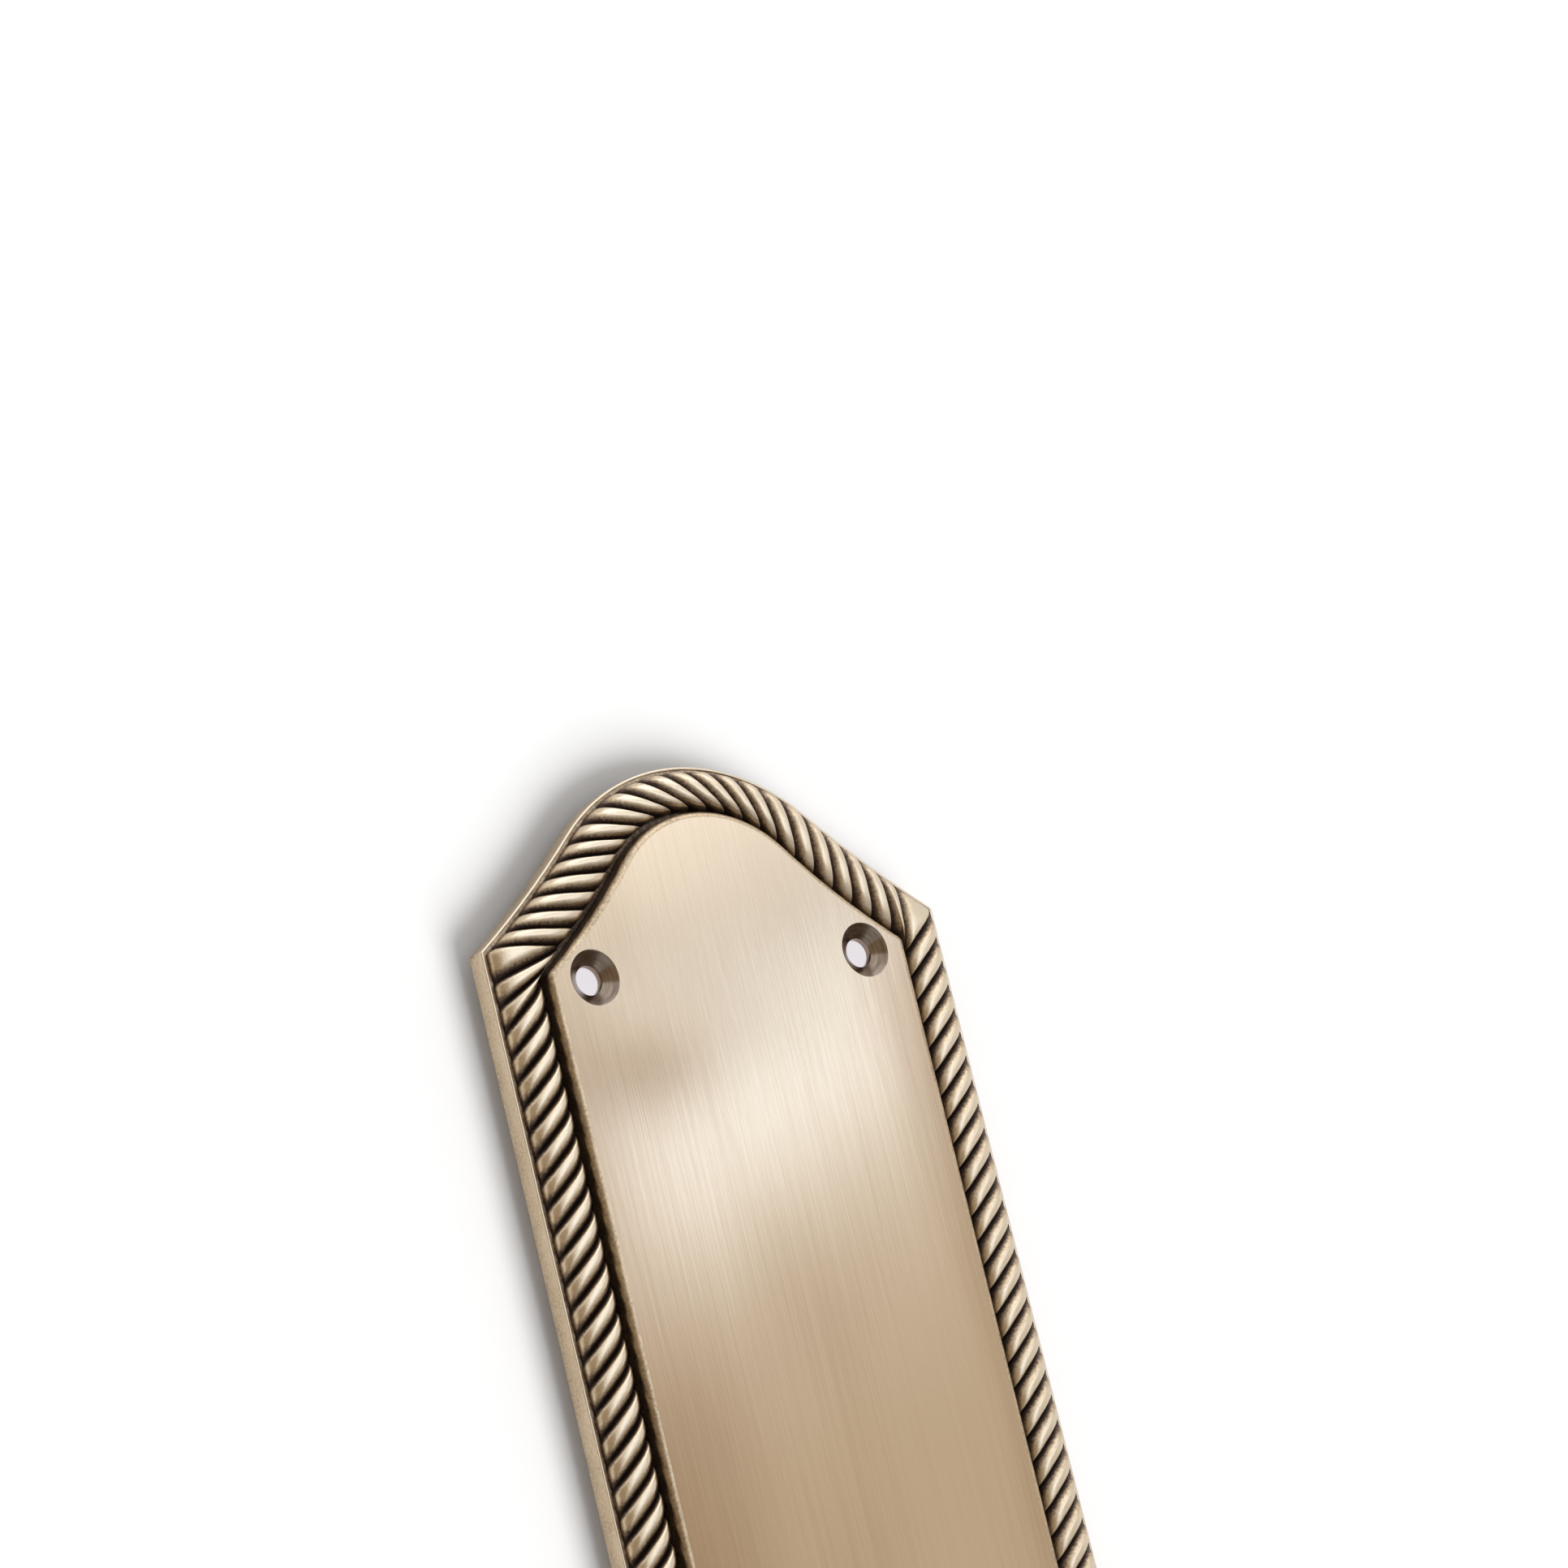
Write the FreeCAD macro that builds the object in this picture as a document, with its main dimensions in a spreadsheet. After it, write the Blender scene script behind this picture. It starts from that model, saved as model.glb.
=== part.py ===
import FreeCAD, Part
import math
import os
import Sketcher

# A cast door finger plate: a flat rim with a thin lip, a twisted rope moulding and a raised panel,
# with an arched end at the top and at the bottom, a hollow back and four countersunk screw holes.
# Millimetres. X runs to the right and Z up as the plate hangs on the door.
# The back rests on the door at Y = 0 and the front looks along -Y.
SIZES = {
    "plate_width": 73.0,
    "plate_length": 282.0,
    "rim_height": 3.0,
    "rim_shoulder_drop": 22.1,
    "rim_crown_radius": 27.7,
    "rim_flank_radius": 153.0,
    "lip_width": 0.4,
    "lip_clearance": 0.4,
    "lip_edge_radius": 0.15,
    "floor_height": 2.6,
    "panel_width": 57.4,
    "panel_height": 5.4,
    "panel_shoulder_drop": 19.5,
    "panel_crown_drop": 6.7,
    "panel_crown_radius": 17.6,
    "panel_flank_radius": 95.0,
    "panel_corner_radius": 1.2,
    "panel_edge_radius": 0.4,
    "rope_height": 5.3,
    "rope_panel_clearance": 0.6,
    "rope_root": 0.5,
    "strand_pitch": 3.3,
    "strand_lean": 6.2,
    "strand_depth": 0.7,
    "strand_tip": 0.4,
    "wedge_shift": 0.9,
    "back_wall": 1.1,
    "web_thickness": 2.5,
    "hole_spacing_x": 43.7,
    "hole_end_distance": 27.4,
    "hole_diameter": 3.9,
    "countersink_diameter": 7.6,
    "countersink_angle": 90.0,
}

doc = FreeCAD.newDocument("finger_plate")
sheet = doc.addObject("Spreadsheet::Sheet", "sizes")
for row, (alias, value) in enumerate(SIZES.items(), start=1):
    sheet.set(f"A{row}", alias)
    sheet.set(f"B{row}", str(value))
    sheet.setAlias(f"B{row}", alias)
doc.recompute()


def size(alias):
    return float(sheet.get(alias))


# Outline of an arched plate: straight sides, hollow flanks and a round crown at each end

class Ogee:
    """Half-plane geometry of one arched outline, seen from the front."""

    def __init__(self, half_width, shoulder, crown, crown_radius, flank_radius):
        self.half_width = half_width
        self.shoulder = shoulder
        self.crown_radius = crown_radius
        self.crown_centre = crown - crown_radius
        self.flank_radius = flank_radius
        # The flank's circle passes through the shoulder corner and touches the crown's circle.
        span = math.hypot(half_width, shoulder - self.crown_centre)
        reach = crown_radius + flank_radius
        along = (reach**2 - flank_radius**2 + span**2) / (2 * span)
        across = math.sqrt(reach**2 - along**2)
        cos_e = half_width / span
        sin_e = (shoulder - self.crown_centre) / span
        self.flank_x = along * cos_e - across * sin_e
        self.flank_z = self.crown_centre + along * sin_e + across * cos_e
        # Slopes, as angles from level: where crown meets flank, and at the shoulder corner
        self.joint_slope = math.atan2(self.flank_x, self.flank_z - self.crown_centre)
        self.corner_slope = math.asin((self.flank_x - half_width) / flank_radius)

    def inset(self, distance):
        """Parallel outline, a distance further in."""
        half_width = self.half_width - distance
        flank_radius = self.flank_radius + distance
        shoulder = self.flank_z - math.sqrt(flank_radius**2 - (self.flank_x - half_width)**2)
        crown = self.crown_centre + self.crown_radius - distance
        return Ogee(half_width, shoulder, crown, self.crown_radius - distance, flank_radius)


half_length = size("plate_length") / 2
rim = Ogee(
    size("plate_width") / 2,
    half_length - size("rim_shoulder_drop"),
    half_length,
    size("rim_crown_radius"),
    size("rim_flank_radius"),
)
panel_crown = half_length - size("panel_crown_drop")
panel = Ogee(
    size("panel_width") / 2,
    panel_crown - size("panel_shoulder_drop"),
    panel_crown,
    size("panel_crown_radius"),
    size("panel_flank_radius"),
)


# Sketches

def front_sketch(body, name, height="0"):
    """Empty sketch parallel to the back, at a height in front of it."""
    sketch = body.newObject("Sketcher::SketchObject", name)
    plane = [item for item in body.Origin.OriginFeatures if item.Role == "XZ_Plane"][0]
    sketch.AttachmentSupport = (plane, "")
    sketch.MapMode = "FlatFace"
    sketch.setExpression("AttachmentOffset.Base.z", height)
    return sketch


def dimension(sketch, name, expression, *constraint):
    """Named dimension, bound to the sheet."""
    index = sketch.addConstraint(Sketcher.Constraint(*constraint))
    sketch.renameConstraint(index, name)
    sketch.setExpression(f".Constraints.{name}", expression)


def arc(centre_x, centre_z, radius, start, end):
    circle = Part.Circle(FreeCAD.Vector(centre_x, centre_z, 0), FreeCAD.Vector(0, 0, 1), radius)
    return Part.ArcOfCircle(circle, start, end)


RIGHT, FLANK_RT, CROWN_T, FLANK_LT, LEFT, FLANK_LB, CROWN_B, FLANK_RB = range(8)
START, END, CENTRE = 1, 2, 3
ORIGIN, X_AXIS, Z_AXIS = (-1, START), -1, -2


def ogee_sketch(body, name, shape, sizes, height="0"):
    """Closed arched outline with its constraints; sizes maps dimension names to expressions."""
    sketch = front_sketch(body, name, height)
    half, top = shape.half_width, shape.shoulder
    down, joint, corner = 1.5 * math.pi, shape.joint_slope, shape.corner_slope
    up = math.pi / 2
    flank_x, flank_z, flank_r = shape.flank_x, shape.flank_z, shape.flank_radius
    crown_z, crown_r = shape.crown_centre, shape.crown_radius
    low_right, high_right = FreeCAD.Vector(half, -top, 0), FreeCAD.Vector(half, top, 0)
    low_left, high_left = FreeCAD.Vector(-half, -top, 0), FreeCAD.Vector(-half, top, 0)
    sketch.addGeometry([
        Part.LineSegment(low_right, high_right),
        arc(flank_x, flank_z, flank_r, down - joint, down - corner),
        arc(0, crown_z, crown_r, up - joint, up + joint),
        arc(-flank_x, flank_z, flank_r, down + corner, down + joint),
        Part.LineSegment(high_left, low_left),
        arc(-flank_x, -flank_z, flank_r, up - joint, up - corner),
        arc(0, -crown_z, crown_r, down - joint, down + joint),
        arc(flank_x, -flank_z, flank_r, up + corner, up + joint),
    ])
    for constraint in (
        ("Tangent", CROWN_T, START, FLANK_RT, START),
        ("Tangent", CROWN_T, END, FLANK_LT, END),
        ("Tangent", CROWN_B, START, FLANK_LB, START),
        ("Tangent", CROWN_B, END, FLANK_RB, END),
        ("Coincident", RIGHT, END, FLANK_RT, END),
        ("Coincident", LEFT, START, FLANK_LT, START),
        ("Coincident", LEFT, END, FLANK_LB, END),
        ("Coincident", RIGHT, START, FLANK_RB, START),
        ("Symmetric", RIGHT, END, LEFT, START, Z_AXIS),
        ("Symmetric", RIGHT, START, RIGHT, END, X_AXIS),
        ("Symmetric", LEFT, START, LEFT, END, X_AXIS),
        ("PointOnObject", CROWN_T, CENTRE, Z_AXIS),
        ("PointOnObject", CROWN_B, CENTRE, Z_AXIS),
        ("Equal", CROWN_T, CROWN_B),
        ("Equal", FLANK_RT, FLANK_LT),
        ("Equal", FLANK_RT, FLANK_LB),
        ("Equal", FLANK_RT, FLANK_RB),
    ):
        sketch.addConstraint(Sketcher.Constraint(*constraint))
    places = {
        "half_width": ("DistanceX", *ORIGIN, RIGHT, END, half),
        "shoulder": ("DistanceY", *ORIGIN, RIGHT, END, top),
        "flank_x": ("DistanceX", *ORIGIN, FLANK_RT, CENTRE, flank_x),
        "crown_top": ("DistanceY", *ORIGIN, CROWN_T, CENTRE, crown_z),
        "crown_bottom": ("DistanceY", CROWN_B, CENTRE, *ORIGIN, crown_z),
        "crown_radius": ("Radius", CROWN_T, crown_r),
        "flank_radius": ("Radius", FLANK_RT, flank_r),
    }
    for label, expression in sizes.items():
        dimension(sketch, label, expression, *places[label])
    if "flank_x" not in sizes:
        # Measured only, for the outlines that run parallel to this one
        index = sketch.addConstraint(Sketcher.Constraint(*places["flank_x"]))
        sketch.setDriving(index, False)
        sketch.renameConstraint(index, "flank_x")
    return sketch


def parallel_sketch(body, name, shape, parent, inset, height="0"):
    """Outline parallel to a parent sketch, an inset further in."""
    link = f"{parent.Name}.Constraints"
    return ogee_sketch(body, name, shape, {
        "half_width": f"{link}.half_width - {inset} * 1 mm",
        "flank_x": f"{link}.flank_x",
        "crown_top": f"{link}.crown_top",
        "crown_bottom": f"{link}.crown_bottom",
        "crown_radius": f"{link}.crown_radius - {inset} * 1 mm",
        "flank_radius": f"{link}.flank_radius + {inset} * 1 mm",
    }, height)


# The cast plate: rim, lip, panel, hollow back and screw holes

body = doc.addObject("PartDesign::Body", "plate_body")
crown_z = "sizes.plate_length / 2 - sizes.rim_crown_radius"
rim_sketch = ogee_sketch(body, "rim_outline", rim, {
    "half_width": "sizes.plate_width / 2",
    "shoulder": "sizes.plate_length / 2 - sizes.rim_shoulder_drop",
    "crown_top": crown_z,
    "crown_bottom": crown_z,
    "crown_radius": "sizes.rim_crown_radius",
    "flank_radius": "sizes.rim_flank_radius",
})
rim_pad = body.newObject("PartDesign::Pad", "rim")
rim_pad.Profile = rim_sketch
rim_pad.setExpression("Length", "sizes.rim_height")

lip_sketch = parallel_sketch(
    body, "lip_outline", rim.inset(size("lip_width")), rim_sketch, "sizes.lip_width", "sizes.rim_height")
lip_pocket = body.newObject("PartDesign::Pocket", "rope_channel")
lip_pocket.Profile = lip_sketch
lip_pocket.setExpression("Length", "sizes.rim_height - sizes.floor_height")

crown_z = "sizes.plate_length / 2 - sizes.panel_crown_drop - sizes.panel_crown_radius"
panel_sketch = ogee_sketch(body, "panel_outline", panel, {
    "half_width": "sizes.panel_width / 2",
    "shoulder": "sizes.plate_length / 2 - sizes.panel_crown_drop - sizes.panel_shoulder_drop",
    "crown_top": crown_z,
    "crown_bottom": crown_z,
    "crown_radius": "sizes.panel_crown_radius",
    "flank_radius": "sizes.panel_flank_radius",
})
panel_pad = body.newObject("PartDesign::Pad", "panel")
panel_pad.Profile = panel_sketch
panel_pad.setExpression("Length", "sizes.panel_height")

back_sketch = parallel_sketch(
    body, "back_outline", panel.inset(size("back_wall")), panel_sketch, "sizes.back_wall")
back_pocket = body.newObject("PartDesign::Pocket", "hollow_back")
back_pocket.Profile = back_sketch
back_pocket.Reversed = True
back_pocket.setExpression("Length", "sizes.panel_height - sizes.web_thickness")
doc.recompute()


def outside(outline, point):
    """Whether a point, seen from the front, lies outside an arched outline."""
    x, z = abs(point.x), abs(point.z)
    if z <= outline.shoulder or x > outline.half_width:
        return x > outline.half_width
    if x < outline.crown_radius * math.sin(outline.joint_slope):
        return math.hypot(x, z - outline.crown_centre) > outline.crown_radius
    return math.hypot(x - outline.flank_x, z - outline.flank_z) < outline.flank_radius


def edges_at(shape, height, outline):
    """Names of the edges that lie flat at a height, outside an outline."""
    names = []
    for number, edge in enumerate(shape.Edges, start=1):
        middle = edge.valueAt((edge.FirstParameter + edge.LastParameter) / 2)
        points = [vertex.Point for vertex in edge.Vertexes] + [middle]
        if max(abs(point.y + height) for point in points) < 1e-6 and outside(outline, middle):
            names.append(f"Edge{number}")
    return names


def corner_edges(shape, outline):
    """Names of the edges that stand at the shoulder corners of an outline."""
    names = []
    for number, edge in enumerate(shape.Edges, start=1):
        box = edge.BoundBox
        stands = box.XLength < 1e-6 and box.ZLength < 1e-6
        at_side = abs(abs(box.Center.x) - outline.half_width) < 1e-6
        if stands and at_side and abs(abs(box.Center.z) - outline.shoulder) < 1e-6:
            names.append(f"Edge{number}")
    return names


def rounded(name, base, edges, radius):
    """Fillet on named edges of the feature before it."""
    fillet = body.newObject("PartDesign::Fillet", name)
    fillet.Base = (base, edges)
    fillet.setExpression("Radius", radius)
    doc.recompute()
    return fillet


within_panel = panel.inset(size("panel_corner_radius"))
within_lip = rim.inset(size("lip_width") / 2)
panel_corner = rounded(
    "panel_corner", back_pocket, corner_edges(back_pocket.Shape, panel), "sizes.panel_corner_radius")
panel_edge = rounded(
    "panel_edge", panel_corner, edges_at(panel_corner.Shape, size("panel_height"), within_panel),
    "sizes.panel_edge_radius")
lip_edge = rounded(
    "lip_edge", panel_edge, edges_at(panel_edge.Shape, size("rim_height"), within_lip),
    "sizes.lip_edge_radius")

hole_sketch = front_sketch(body, "hole_places", "sizes.panel_height")
hole_x = size("hole_spacing_x") / 2
hole_z = half_length - size("hole_end_distance")
for side, end in ((1, 1), (-1, 1), (-1, -1), (1, -1)):
    centre = FreeCAD.Vector(side * hole_x, end * hole_z, 0)
    hole_sketch.addGeometry(Part.Circle(centre, FreeCAD.Vector(0, 0, 1), size("hole_diameter") / 2))
hole_sketch.addConstraint(Sketcher.Constraint("Symmetric", 0, CENTRE, 1, CENTRE, Z_AXIS))
hole_sketch.addConstraint(Sketcher.Constraint("Symmetric", 0, CENTRE, 3, CENTRE, X_AXIS))
hole_sketch.addConstraint(Sketcher.Constraint("Symmetric", 0, CENTRE, 2, CENTRE, *ORIGIN))
for number in (1, 2, 3):
    hole_sketch.addConstraint(Sketcher.Constraint("Equal", 0, number))
dimension(hole_sketch, "across", "sizes.hole_spacing_x / 2", "DistanceX", *ORIGIN, 0, CENTRE, hole_x)
dimension(hole_sketch, "up", "sizes.plate_length / 2 - sizes.hole_end_distance",
          "DistanceY", *ORIGIN, 0, CENTRE, hole_z)
dimension(hole_sketch, "bore", "sizes.hole_diameter", "Diameter", 0, size("hole_diameter"))
doc.recompute()

holes = body.newObject("PartDesign::Hole", "screw_holes")
holes.Profile = hole_sketch
holes.ThreadType = "None"
holes.DepthType = "ThroughAll"
holes.setExpression("Diameter", "sizes.hole_diameter")
holes.HoleCutType = "Countersink"
holes.HoleCutCustomValues = True
holes.setExpression("HoleCutDiameter", "sizes.countersink_diameter")
holes.setExpression("HoleCutCountersinkAngle", "sizes.countersink_angle")
body.Tip = holes
doc.recompute()


# The rope moulding: strands that lean across a round bead and run the same way all round.
# Each strand is a ridge of facets between two grooves; a groove runs straight from the bead's
# inner edge to its outer edge.

BEAD_FACETS = 7
STRAND_RIDGES = ((0.0, 1.0), (0.4, 0.05), (0.85, 0.0))

rope_outer = rim.inset(size("lip_width") + size("lip_clearance"))
rope_inner = panel.inset(-size("rope_panel_clearance"))
bead_crown_radius = (rope_outer.crown_radius + rope_inner.crown_radius) / 2
bead_crown = bead_crown_radius * (rope_outer.joint_slope + rope_inner.joint_slope) / 2


def arch_corner(edge):
    """Station of an edge's shoulder corner, along the bead from the crown's top."""
    return bead_crown + edge.flank_radius * (edge.joint_slope - edge.corner_slope)


def arch_point(edge, station):
    """Point of the top arch on one edge of the bead; past the shoulder it runs down the side."""
    side, station = math.copysign(1, station), abs(station)
    if station > arch_corner(edge):
        return side * edge.half_width, edge.shoulder - (station - arch_corner(edge))
    if station <= bead_crown:
        slope = edge.joint_slope * station / bead_crown
        x, z = edge.crown_radius * math.sin(slope), edge.crown_radius * math.cos(slope)
        return side * x, edge.crown_centre + z
    slope = edge.joint_slope - (station - bead_crown) / edge.flank_radius
    x, z = edge.flank_radius * math.sin(slope), edge.flank_radius * math.cos(slope)
    return side * (edge.flank_x - x), edge.flank_z - z


def side_point(edge, side, z):
    """Point of a straight side on one edge of the bead; past the shoulder it runs up the arch."""
    if z <= edge.shoulder:
        return side * edge.half_width, z
    return arch_point(edge, side * (arch_corner(edge) - (z - edge.shoulder)))


def stations(first, last):
    """Evenly spaced groove stations, close to the strand pitch."""
    count = round(abs(last - first) / size("strand_pitch"))
    return [first + (last - first) * number / count for number in range(count + 1)]


def half_rope():
    """Grooves from the middle of the left side over the top arch to the middle of the right side."""
    lean, tip = size("strand_lean"), size("strand_tip")
    # One wide strand turns each shoulder: its inner end is a tip, and its outer end reaches the corner
    # or a little past it.
    first_arch = -arch_corner(rope_outer) + lean / 2 + size("wedge_shift")
    left_tip = first_arch + lean / 2 + arch_corner(rope_inner)
    last_left = rope_inner.shoulder + left_tip - tip - lean / 2
    first_right = rope_outer.shoulder - lean / 2
    right_tip = rope_inner.shoulder - (first_right - lean / 2)
    last_arch = arch_corner(rope_inner) + right_tip - tip - lean / 2
    grooves = []
    for z in stations(0, last_left):
        inner = side_point(rope_inner, -1, z + lean / 2)
        outer = side_point(rope_outer, -1, z - lean / 2)
        grooves.append((inner, outer))
    for place in stations(first_arch, last_arch):
        inner = arch_point(rope_inner, place + lean / 2)
        outer = arch_point(rope_outer, place - lean / 2)
        grooves.append((inner, outer))
    for z in stations(first_right, 0):
        inner = side_point(rope_inner, 1, z - lean / 2)
        outer = side_point(rope_outer, 1, z + lean / 2)
        grooves.append((inner, outer))
    return grooves


def blend(first, second, share):
    return tuple(a + (b - a) * share for a, b in zip(first, second))


def bead_section(inner, outer, sunk):
    """Points over the bead from its inner edge to its outer edge, sunk below the strand's crest."""
    foot = size("floor_height") + size("strand_depth")
    points = []
    for number in range(BEAD_FACETS + 1):
        turn = math.pi * number / BEAD_FACETS
        x, z = blend(inner, outer, (1 - math.cos(turn)) / 2)
        height = foot + (size("rope_height") - foot) * math.sin(turn) - sunk * size("strand_depth")
        points.append(FreeCAD.Vector(x, -height, z))
    return points


def flat_faces(a, b, c, d):
    """One face for four points in a plane, or two triangles."""
    if abs((b - a).cross(c - a).dot(d - a)) < 1e-7:
        return [Part.Face(Part.makePolygon([a, b, c, d, a]))]
    return [Part.Face(Part.makePolygon([a, b, c, a])), Part.Face(Part.makePolygon([a, c, d, a]))]


def rope_solid():
    half = half_rope()
    turned = [tuple((-x, -z) for x, z in groove) for groove in half]
    grooves = half[:-1] + turned[:-1]
    sections = []
    for number, (inner, outer) in enumerate(grooves):
        next_inner, next_outer = grooves[(number + 1) % len(grooves)]
        for share, sunk in STRAND_RIDGES:
            section_inner = blend(inner, next_inner, share)
            section_outer = blend(outer, next_outer, share)
            sections.append(bead_section(section_inner, section_outer, sunk))
    root = size("floor_height") - size("rope_root")
    faces = []
    for number, near in enumerate(sections):
        far = sections[(number + 1) % len(sections)]
        for place in range(BEAD_FACETS):
            faces += flat_faces(near[place], far[place], far[place + 1], near[place + 1])
        for place in (0, -1):
            low_near = FreeCAD.Vector(near[place].x, -root, near[place].z)
            low_far = FreeCAD.Vector(far[place].x, -root, far[place].z)
            faces += flat_faces(near[place], far[place], low_far, low_near)
    rings = []
    for place in (-1, 0):
        low = [FreeCAD.Vector(section[place].x, -root, section[place].z) for section in sections]
        rings.append(Part.makePolygon(low + low[:1]))
    faces.append(Part.Face(rings))
    shell = Part.Shell(faces)
    shell.sewShape()
    solid = Part.Solid(shell)
    if solid.Volume < 0:
        solid.reverse()
    return solid


rope = doc.addObject("Part::Feature", "rope")
rope.Shape = rope_solid()

plate = doc.addObject("Part::Fuse", "finger_plate")
plate.Label = "finger_plate"
plate.Base = body
plate.Tool = rope
doc.recompute()


# Check and export

for item in doc.Objects:
    if "Invalid" in item.State or "Error" in item.State:
        raise RuntimeError(f"{item.Label} did not build")
if plate.Shape.isNull() or not plate.Shape.isValid() or len(plate.Shape.Solids) != 1:
    raise RuntimeError("finger_plate is not one valid solid")
os.makedirs("parts", exist_ok=True)
plate.Shape.exportStep(f"parts/{plate.Label}.step")
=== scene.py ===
import math

import bmesh
import bpy
import numpy as np
from mathutils import Matrix, Vector
from mathutils.geometry import delaunay_2d_cdt


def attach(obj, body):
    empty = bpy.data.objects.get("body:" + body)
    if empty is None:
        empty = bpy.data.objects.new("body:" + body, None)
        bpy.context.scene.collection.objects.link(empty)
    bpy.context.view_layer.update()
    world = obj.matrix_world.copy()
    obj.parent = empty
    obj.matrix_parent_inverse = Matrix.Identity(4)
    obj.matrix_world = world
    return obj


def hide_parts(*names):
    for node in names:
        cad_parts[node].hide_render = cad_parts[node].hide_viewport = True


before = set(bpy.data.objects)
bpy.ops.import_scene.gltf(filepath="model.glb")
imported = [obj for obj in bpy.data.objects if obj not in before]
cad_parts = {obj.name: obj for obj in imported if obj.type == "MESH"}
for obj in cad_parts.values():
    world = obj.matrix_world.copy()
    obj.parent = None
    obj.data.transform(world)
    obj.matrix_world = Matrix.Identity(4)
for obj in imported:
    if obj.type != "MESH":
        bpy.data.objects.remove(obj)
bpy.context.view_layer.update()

# Sizes that the part has too, in millimetres; heights are measured from the back
MM = 0.001
HALF_LENGTH = 141.0
PLATE_HALF_WIDTH = 36.5
RIM_HEIGHT = 3.0
RIM_SHOULDER_DROP = 22.1
RIM_CROWN_RADIUS = 27.7
RIM_FLANK_RADIUS = 153.0
LIP_WIDTH = 0.4
LIP_CLEARANCE = 0.4
LIP_ROUND = 0.15
FLOOR_HEIGHT = 2.6
PANEL_HALF_WIDTH = 28.7
PANEL_HEIGHT = 5.4
PANEL_CROWN_DROP = 6.7
PANEL_CROWN = HALF_LENGTH - PANEL_CROWN_DROP
PANEL_SHOULDER_DROP = 19.5
PANEL_CROWN_RADIUS = 17.6
PANEL_FLANK_RADIUS = 95.0
PANEL_CORNER = 1.2
ROPE_HEIGHT = 5.3
ROPE_ROOT = 0.5
ROPE_FOOT = FLOOR_HEIGHT + ROPE_ROOT
ROPE_PANEL_CLEARANCE = 0.6
STRAND_PITCH = 3.3
STRAND_LEAN = 6.2
STRAND_TIP = 0.4
WEDGE_SHIFT = 0.9
BACK_WALL = 1.1
WEB_THICKNESS = 2.5
HOLLOW_HEIGHT = PANEL_HEIGHT - WEB_THICKNESS
HOLE_X = 21.85
HOLE_END_DISTANCE = 27.4
HOLE_Z = HALF_LENGTH - HOLE_END_DISTANCE
HOLE_RADIUS = 1.95

# Finer sizes in millimetres, chosen for the looks
RIM_CORNER = 0.5
BACK_ROUND = 0.25
LIP_ARC_MIDDLE = 0.0435
LIP_BEVEL = 0.08
OUTER_FLOOR = 2.8
PANEL_WALL_LOW = 0.9
PANEL_WALL_HIGH = 1.5
PANEL_ROUND = 0.9
HOLLOW_CORNER = 1.0
SINK_RADIUS = 3.6
SINK_DEPTH = 1.55
SINK_EDGE = 0.12
SINK_EDGE_INSET = 0.024
SINK_EDGE_DEPTH = 0.084
BORE_EDGE = 0.05
ARCH_LEAN_GAIN = 1.8
STRAND_DEPTH = 0.95
STRAND_SCALLOP = 0.12
STRAND_SOFT_SIDE = 1.8
STRAND_STEEP_SIDE = 0.6
STRAND_CROWN = 0.12
PANEL_SPACING = 2.0
BACK_SPACING = 6.0
BRUSH_MAP_SIZE = 100.0

# Shares that shape the rope's bead, and its patina and painted shade: the bead's sides are coloured darker
# towards its feet, more on the inner side next to the panel
STRAND_SWEEP = 0.3
BEAD_CREST = 0.38
BEAD_FULLNESS = 0.84
GROOVE_AT_EDGE = 0.45
INNER_PATINA_AND_SHADE = 0.72
OUTER_PATINA_AND_SHADE = 0.45
INNER_FOOT_RELIEF = 0.3
OUTER_FOOT_RELIEF = 0.4
ALONG_STRAND = (0.0, 0.05, 0.11, 0.18, 0.26, 0.35, 0.45, 0.55, 0.65, 0.74, 0.82, 0.88, 0.93, 0.97)

# Steps that outlines and round forms are divided into
SIDE_STEPS = 24
CORNER_STEPS = 6
FLANK_STEPS = 16
CROWN_STEPS = 28
ROUND_STEPS = 8
HOLE_STEPS = 64
ACROSS_BEAD = 18


# Outlines of the arched plate, seen from the front

class Ogee:
    """One arched outline: straight sides, hollow flanks and a round crown at each end."""

    def __init__(self, half_width, shoulder, crown, crown_radius, flank_radius):
        self.half_width = half_width
        self.shoulder = shoulder
        self.crown_radius = crown_radius
        self.crown_centre = crown - crown_radius
        self.flank_radius = flank_radius
        span = math.hypot(half_width, shoulder - self.crown_centre)
        reach = crown_radius + flank_radius
        along = (reach**2 - flank_radius**2 + span**2) / (2 * span)
        across = math.sqrt(reach**2 - along**2)
        cos_tilt = half_width / span
        sin_tilt = (shoulder - self.crown_centre) / span
        self.flank_x = along * cos_tilt - across * sin_tilt
        self.flank_z = self.crown_centre + along * sin_tilt + across * cos_tilt
        self.joint_slope = math.atan2(self.flank_x, self.flank_z - self.crown_centre)
        self.corner_slope = math.asin((self.flank_x - half_width) / flank_radius)

    def inset(self, distance):
        """The parallel outline, a distance further in."""
        half_width = self.half_width - distance
        flank_radius = self.flank_radius + distance
        shoulder = self.flank_z - math.sqrt(flank_radius**2 - (self.flank_x - half_width)**2)
        crown = self.crown_centre + self.crown_radius - distance
        return Ogee(half_width, shoulder, crown, self.crown_radius - distance, flank_radius)


rim = Ogee(
    PLATE_HALF_WIDTH, HALF_LENGTH - RIM_SHOULDER_DROP, HALF_LENGTH, RIM_CROWN_RADIUS, RIM_FLANK_RADIUS
)
panel = Ogee(
    PANEL_HALF_WIDTH, PANEL_CROWN - PANEL_SHOULDER_DROP, PANEL_CROWN, PANEL_CROWN_RADIUS, PANEL_FLANK_RADIUS
)


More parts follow.
